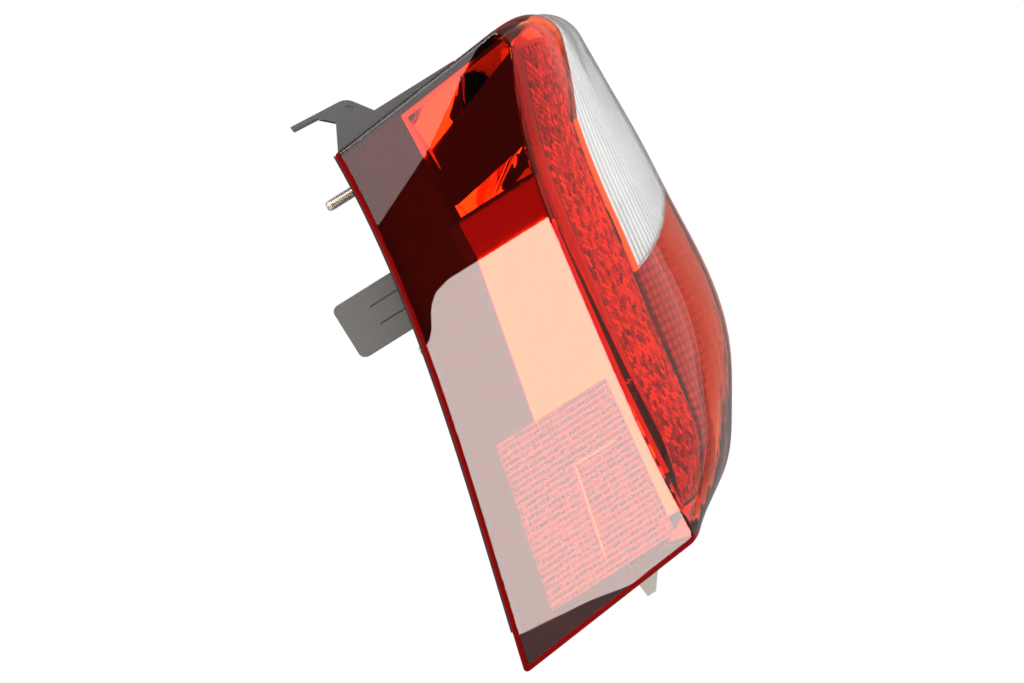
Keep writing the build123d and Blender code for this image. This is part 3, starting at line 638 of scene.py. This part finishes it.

# Corner rib: a plain red rib along the crease that closes the gap between the side reflector
# and the sheet of prisms. It glows a little, a painted glow for light that reaches it inside the
# lamp.
rib_line = ((74.9, -86.0), (62.2, -172.7), (57.0, -223.0))
rib_front, rib_back, rib_face, rib_thick, rib_steps = -1.6, 0.9, -0.0286, 0.0006, 32


def give_glow(material, colour, strength):
    """Light that a finish gives off itself."""
    shader = shader_of(material)
    shader.inputs["Emission Color"].default_value = (*colour, 1.0)
    shader.inputs["Emission Strength"].default_value = strength


rib = bmesh.new()
bmesh.ops.create_grid(rib, x_segments=1, y_segments=rib_steps, size=0.5)
for corner in rib.verts:
    rise = rib_line[0][1] + (0.5 - corner.co.y) * (rib_line[-1][1] - rib_line[0][1])
    upper, lower = rib_line[:2] if rise > rib_line[1][1] else rib_line[1:]
    share = (rise - upper[1]) / (lower[1] - upper[1])
    crease = upper[0] + share * (lower[0] - upper[0])
    back = crease + (rib_back if corner.co.x > 0 else rib_front)
    corner.co = Vector((rib_face, *side_point(back, rise)))
bmesh.ops.translate(rib, vec=(rib_thick, 0, 0), verts=back_of(rib))
bmesh.ops.recalc_face_normals(rib, faces=rib.faces)
rib_red_painted_glow = finish("rib_red_painted_glow", (0.4, 0.01, 0.01), roughness=0.4)
grain(rib_red_painted_glow, size=0.0006, depth=0.00003, smooth=0.3, rough=0.45)
# Painted glow: the rib gives off red light, standing in for light that reaches it inside the
# lamp.
give_glow(rib_red_painted_glow, (1.0, 0.05, 0.03), 0.4)
piece("corner_rib", rib, rib_red_painted_glow, slot="red_optic")

# Lens: red and clear acrylic moulded in one shell, melted to the housing all round.
# Its rolled rim is too deep to see through and shows as solid red. The side's inner face
# mirrors less than the outer one. The red's edge at the window is coloured orange with a painted
# glow.
acrylic_red = (0.88, 0.115, 0.03)
lens_red = clear("lens_red", acrylic_red, roughness=0.0, refraction=1.4)
lens_clear = clear("lens_clear", (0.97, 0.975, 0.975), roughness=0.0, refraction=1.4, share=0.86)
lens_inner = clear("lens_inner", acrylic_red, roughness=0.0, refraction=1.2)
seam_orange_painted_glow = finish("seam_orange_painted_glow", (0.9, 0.22, 0.05), roughness=0.35)
grain(seam_orange_painted_glow, size=0.0006, depth=0.00003, smooth=0.28, rough=0.42)
# Painted glow: the window edge gives off orange light, standing in for the light along the lens's
# edge.
give_glow(seam_orange_painted_glow, (1.0, 0.35, 0.1), 0.7)
rim_red = finish("rim_red", (0.14, 0.001, 0.001), roughness=0.2)
shader_of(rim_red).inputs["Specular IOR Level"].default_value = 0.02
grain(rim_red, size=0.003, depth=0.000004, smooth=0.12, rough=0.25)
through_index, rim_index, inner_index, seam_glow_index = range(4)
rim_wall, rim_angle = 0.0028, 6.1
rim_bottom = Vector((0, *side_point(-56.6, -271.0)))
rim_across = Vector((0, math.tan(math.radians(rim_angle)), 1)).normalized()
front_limit, dome_limit, dome_start = 0.12, 0.8, -0.06
square_limit, window_reach = 0.9995, 0.0004
merge_reach, cut_reach = 1e-6, 1e-7
shell = bmesh.new()
shell_source = nodes["lens_red"].data
shell.from_mesh(shell_source)
exact = shell.loops.layers.float_vector.new("exact")
for face in shell.faces:
    for loop, corner in zip(face.loops, shell_source.polygons[face.index].loop_indices):
        normal = shell_source.corner_normals[corner].vector
        square = abs(normal.x) > square_limit
        loop[exact] = Vector((math.copysign(1.0, normal.x), 0, 0)) if square else normal
bmesh.ops.remove_doubles(shell, verts=shell.verts, dist=merge_reach)
bmesh.ops.bisect_plane(
    shell,
    geom=shell.verts[:] + shell.edges[:] + shell.faces[:],
    dist=cut_reach,
    plane_co=rim_bottom + rim_across * rim_wall,
    plane_no=rim_across,
)
for face in shell.faces:
    middle = face.calc_center_median()
    in_front = face.normal.y > front_limit and middle.y > 0
    in_foot = (middle - rim_bottom).dot(rim_across) < rim_wall
    in_dome = face.normal.z > dome_limit and middle.y < dome_start
    face.material_index = rim_index if in_front or in_foot or in_dome else through_index
    if face.normal.x > square_limit:
        at_window = abs(middle.x - border_x) < window_reach
        face.material_index = seam_glow_index if at_window else inner_index
    face.smooth = True
red_shell = piece("red_shell", shell, lens_red, "lens_red", slot="red_lens")
for material in (rim_red, lens_inner, seam_orange_painted_glow):
    red_shell.data.materials.append(material)
shell_exact = red_shell.data.attributes["exact"]
shell_normals = [Vector(part.vector).normalized() for part in shell_exact.data]
red_shell.data.normals_split_custom_set(shell_normals)
red_shell.data.attributes.remove(red_shell.data.attributes["exact"])
dress(lens_clear, "lens_clear")

# Studio: white world for what the camera and the lens see, soft light for the rest.
# The lamp mirrors cards that stand beside the camera and round it, out of the camera's sight.
scene = bpy.context.scene
scene.view_settings.view_transform = "Standard"
world = bpy.data.worlds.new("studio")
scene.world = world
world.use_nodes = True
sky = world.node_tree
sky.nodes.clear()
ray = sky.nodes.new("ShaderNodeLightPath")
world_soft, world_seen, world_through = 0.7, 1.0, 1.5
seen = sky.nodes.new("ShaderNodeMath")
seen.operation = "MULTIPLY_ADD"
seen.inputs[1].default_value = world_seen - world_soft
seen.inputs[2].default_value = world_soft
through = sky.nodes.new("ShaderNodeMath")
through.operation = "MULTIPLY_ADD"
through.inputs[1].default_value = world_through - world_soft
glow = sky.nodes.new("ShaderNodeBackground")
glow.inputs["Color"].default_value = (1.0, 1.0, 1.0, 1.0)
out = sky.nodes.new("ShaderNodeOutputWorld")
sky.links.new(ray.outputs["Is Camera Ray"], seen.inputs[0])
sky.links.new(ray.outputs["Is Transmission Ray"], through.inputs[0])
sky.links.new(seen.outputs["Value"], through.inputs[2])
sky.links.new(through.outputs["Value"], glow.inputs["Strength"])
sky.links.new(glow.outputs["Background"], out.inputs["Surface"])


def card(name, corners, colour, power):
    """Flat card that the camera doesn't see and that throws no shadow."""
    mesh = bmesh.new()
    mesh.faces.new([mesh.verts.new(corner) for corner in corners])
    material = finish(name, (0.0, 0.0, 0.0), roughness=1.0)
    shader_of(material).inputs["Specular IOR Level"].default_value = 0.0
    give_glow(material, colour, power)
    board = object_of(name, mesh, material)
    board.visible_camera = False
    board.visible_shadow = False
    board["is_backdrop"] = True
    return board


side_face = -0.034
aim_y, aim_z = -0.0121, -0.1069
view_distance = 3.0


def mirrored(edge, x):
    """Corners of a card at x whose image fills an edge drawn on the side face."""
    spread = 1 + (side_face - x) / view_distance
    points = [side_point(*point) for point in edge]
    return [(x, aim_y + (y - aim_y) * spread, aim_z + (z - aim_z) * spread) for y, z in points]


softbox_edge = [
    (15.3, -83.0),
    (74.3, -83.0),
    (53.3, -242.0),
    (51.0, -267.0),
    (20.0, -262.5),
    (-8.9, -256.8),
    (-46.5, -252.8),
    (-75.0, -250.0),
    (-40.0, -122.0),
    (-8.4, -103.8),
    (-4.4, -99.5),
    (-0.7, -92.7),
    (2.5, -88.8),
    (6.7, -85.2),
]
wedge_edge = [
    (-40.0, -60.0),
    (41.2, -22.8),
    (80.0, 2.5),
    (150.0, 40.0),
    (150.0, 120.0),
    (-40.0, 120.0),
]
dim_edge = [(28.0, -90.0), (110.0, -90.0), (110.0, -62.0), (28.0, -62.0)]
low_edge = [(-90.0, -240.0), (170.0, -240.0), (170.0, -340.0), (-90.0, -340.0)]
dark_edge = [(-0.9, -0.9), (0.9, -0.9), (0.9, 0.9), (-0.9, 0.9)]
high_card = [(-1.95, -0.8, 0.85), (-1.95, 0.8, 0.85), (-1.1, 0.8, 1.75), (-1.1, -0.8, 1.75)]
shade_edge = [(-1.6, -1.4), (1.6, -1.4), (1.6, 1.4), (-1.6, 1.4)]
rear_edge = [(-1.1, 1.2), (1.2, 1.2), (1.2, -1.0), (-1.1, -1.0)]
dark_x, shade_x, rear_y = -2.1, 1.6, -1.5
card("softbox", mirrored(softbox_edge, -2.0), (1.0, 0.98, 0.96), 16.0)
card("wedge", mirrored(wedge_edge, -2.05), (1.0, 0.97, 0.97), 4.2)
card("dim", mirrored(dim_edge, -2.08), (1.0, 0.2, 0.2), 0.45)
card("low", mirrored(low_edge, -2.09), (1.0, 1.0, 1.0), 1.2)
card("dark", [(dark_x, y, z) for y, z in dark_edge], (1.0, 1.0, 1.0), 0.05)
card("high_light", high_card, (1.0, 0.97, 0.95), 8.0)
shade_card = card("shade", [(shade_x, y, z) for y, z in shade_edge], (1.0, 0.9, 0.9), 0.25)
rear_card = card("rear_card", [(x, rear_y, z) for x, z in rear_edge], (1.0, 0.98, 0.98), 1.2)
for board in (shade_card, rear_card):
    board.visible_diffuse = False
    board.visible_transmission = False

# Floor: a plain pale sheet well below the lamp, white to the camera.
# Four soft lights stand above, behind, below and before the lamp.
floor_half, floor_level = 6.0, -1.6
lamp_middle = Vector((0.04, -0.03, -0.11))
floor_mesh = bmesh.new()
bmesh.ops.create_grid(floor_mesh, x_segments=1, y_segments=1, size=floor_half)
bmesh.ops.translate(floor_mesh, vec=(0, 0, floor_level), verts=floor_mesh.verts)
floor_white = finish("floor_white", (0.9, 0.9, 0.9), roughness=0.9)
floor_tree, floor_shader = floor_white.node_tree, shader_of(floor_white)
floor_shader.inputs["Emission Color"].default_value = (1, 1, 1, 1)
floor_ray = floor_tree.nodes.new("ShaderNodeLightPath")
floor_glow = floor_shader.inputs["Emission Strength"]
floor_tree.links.new(floor_ray.outputs["Is Camera Ray"], floor_glow)
floor = object_of("floor", floor_mesh, floor_white)
floor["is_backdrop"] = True


def lamp(name, place, size, watts):
    """Soft light aimed at the middle of the lamp."""
    data = bpy.data.lights.new(name, "AREA")
    data.shape = "RECTANGLE"
    data.size, data.size_y = size
    data.energy = watts
    light = bpy.data.objects.new(name, data)
    scene.collection.objects.link(light)
    facing = (lamp_middle - Vector(place)).to_track_quat("-Z", "Y").to_matrix().to_4x4()
    light.matrix_world = Matrix.Translation(place) @ facing


lamp("top_light", place=(-0.3, -0.4, 1.6), size=(1.2, 1.2), watts=8.0)
lamp("rear_light", place=(0.4, -2.0, 0.5), size=(1.2, 1.0), watts=24.0)
lamp("low_light", place=(-0.7, -0.5, -1.4), size=(1.0, 1.0), watts=14.0)
lamp("front_light", place=(0.5, 1.9, 0.7), size=(1.2, 1.0), watts=14.0)

# Camera: at the photograph's place, square to the side face and rolled.
# Its picture is about half a metre wide at the lamp.
picture_width, film_width, roll_degrees = 0.512, 36.0, 32.0
camera_data = bpy.data.cameras.new("camera")
camera_data.sensor_width = film_width
camera_data.lens = film_width * view_distance / picture_width
camera_data.clip_end = 50.0
camera = bpy.data.objects.new("camera", camera_data)
scene.collection.objects.link(camera)
roll = math.radians(roll_degrees)
right = Vector((0, -math.cos(roll), -math.sin(roll)))
up = Vector((0, -math.sin(roll), math.cos(roll)))
facing = Matrix((right, up, -Vector((1, 0, 0)))).transposed().to_4x4()
camera.matrix_world = Matrix.Translation((side_face - view_distance, aim_y, aim_z)) @ facing
scene.camera = camera

low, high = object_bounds()
